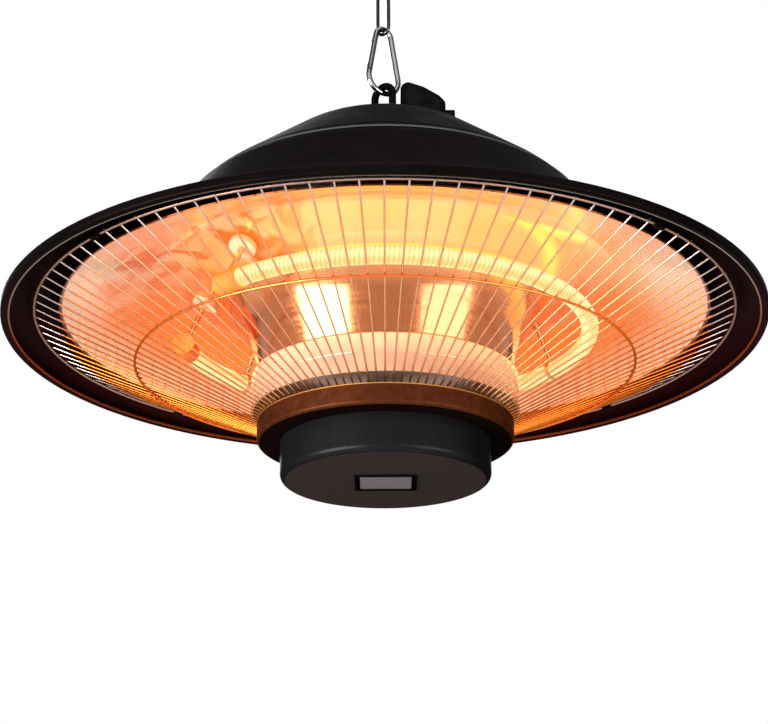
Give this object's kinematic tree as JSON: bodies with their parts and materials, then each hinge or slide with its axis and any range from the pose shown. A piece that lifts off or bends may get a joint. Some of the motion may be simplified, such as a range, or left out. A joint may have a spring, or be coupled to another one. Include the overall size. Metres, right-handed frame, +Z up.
{
  "type": "hanging infrared heater",
  "caption": "Round black ceiling-hung infrared heater with a ring lamp, wire guard and control hub, on a carabiner and chain links.",
  "frame": {"origin": "inside top of the upper chain link, where a ceiling hook carries the heater", "axes": "+Z up along the heater's axis, +X towards the cord inlet's mouth, +Y away from the pictured side"},
  "size_m": [0.425, 0.425, 0.3379],
  "materials": {
    "bright_steel": "polished",
    "zinc_steel": "satin",
    "black_steel": "satin",
    "cover_black": "satin",
    "shade_black": "satin",
    "hub_black": "satin",
    "box_plastic": "satin",
    "gasket_rubber": "matte",
    "terminal_plastic": "satin",
    "insulation_board": "matte",
    "polished_aluminium": "polished",
    "guard_chrome": "polished",
    "quartz": "polished",
    "filament_glow": "satin",
    "white_ceramic": "matte",
    "lead_silicone": "matte",
    "window_plastic": "gloss",
    "board_laminate": "satin",
    "relay_plastic": "satin",
    "led_plastic": "gloss"
  },
  "bodies": {
    "chain_top": {"chain_link_top": "bright_steel"},
    "chain_lower": {"chain_link_lower": "bright_steel"},
    "carabiner": {"carabiner_body": "bright_steel", "carabiner_gate_pin": "bright_steel"},
    "gate": {"carabiner_gate": "bright_steel"},
    "heater": {"hanging_eye": "black_steel", "eye_nuts": "zinc_steel", "hanger_strap": "zinc_steel", "strap_bolts": "zinc_steel", "strap_nuts": "zinc_steel", "top_cover": "cover_black", "cover_screws": "zinc_steel", "cable_box_cover": "box_plastic", "cable_box_gasket": "gasket_rubber", "cable_box_screws": "zinc_steel", "cable_gland_body": "box_plastic", "cable_gland_nut": "box_plastic", "gland_lock_nut": "box_plastic", "terminal_block": "terminal_plastic", "terminal_screws": "zinc_steel", "shade": "shade_black", "insulation_disc": "insulation_board", "reflector": "polished_aluminium", "reflector_column": "polished_aluminium", "reflector_standoffs": "zinc_steel", "quartz_tube": "quartz", "filament": "filament_glow", "lamp_end_caps": "white_ceramic", "lamp_posts": "zinc_steel", "lamp_bushings": "white_ceramic", "lamp_nuts": "zinc_steel", "lamp_clips": "zinc_steel", "lamp_leads": "lead_silicone", "tie_tube": "zinc_steel", "tie_tube_nuts": "zinc_steel", "column_drum": "polished_aluminium", "guard_outer_ring": "guard_chrome", "guard_mid_ring": "guard_chrome", "guard_inner_ring": "guard_chrome", "guard_wires": "guard_chrome", "guard_clips": "shade_black", "guard_rivets": "shade_black", "guard_seat": "hub_black", "hub_collar": "hub_black", "hub_nut": "zinc_steel", "hub_cup": "hub_black", "hub_screws": "zinc_steel", "window_bezel": "box_plastic", "sensor_window": "window_plastic", "control_board": "board_laminate", "board_screws": "zinc_steel", "relay": "relay_plastic", "power_module": "relay_plastic", "board_connector": "terminal_plastic", "ir_receiver": "relay_plastic", "status_led": "led_plastic", "supply_harness": "lead_silicone"}
  },
  "joints": [
    {"name": "link_swing", "type": "hinge", "parent": "chain_top", "child": "chain_lower", "pos_m": [0, 0, -0.0277], "axis": [0.309, 0.9511, 0], "range_deg": [-45, 45]},
    {"name": "carabiner_swing", "type": "hinge", "parent": "chain_lower", "child": "carabiner", "pos_m": [0, 0, -0.054], "axis": [0.788, -0.6157, 0], "range_deg": [-30, 30]},
    {"name": "heater_swing", "type": "hinge", "parent": "carabiner", "child": "heater", "pos_m": [0, 0, -0.09435], "axis": [0.848, 0.5299, 0], "range_deg": [-25, 25]},
    {"name": "gate_hinge", "type": "hinge", "parent": "carabiner", "child": "gate", "pos_m": [-0.0081, -0.00506, -0.07932], "axis": [-0.5299, 0.848, 0], "range_deg": [0, 25], "stiffness_Nm_per_rad": 0.05, "springref_deg": -10}
  ]
}
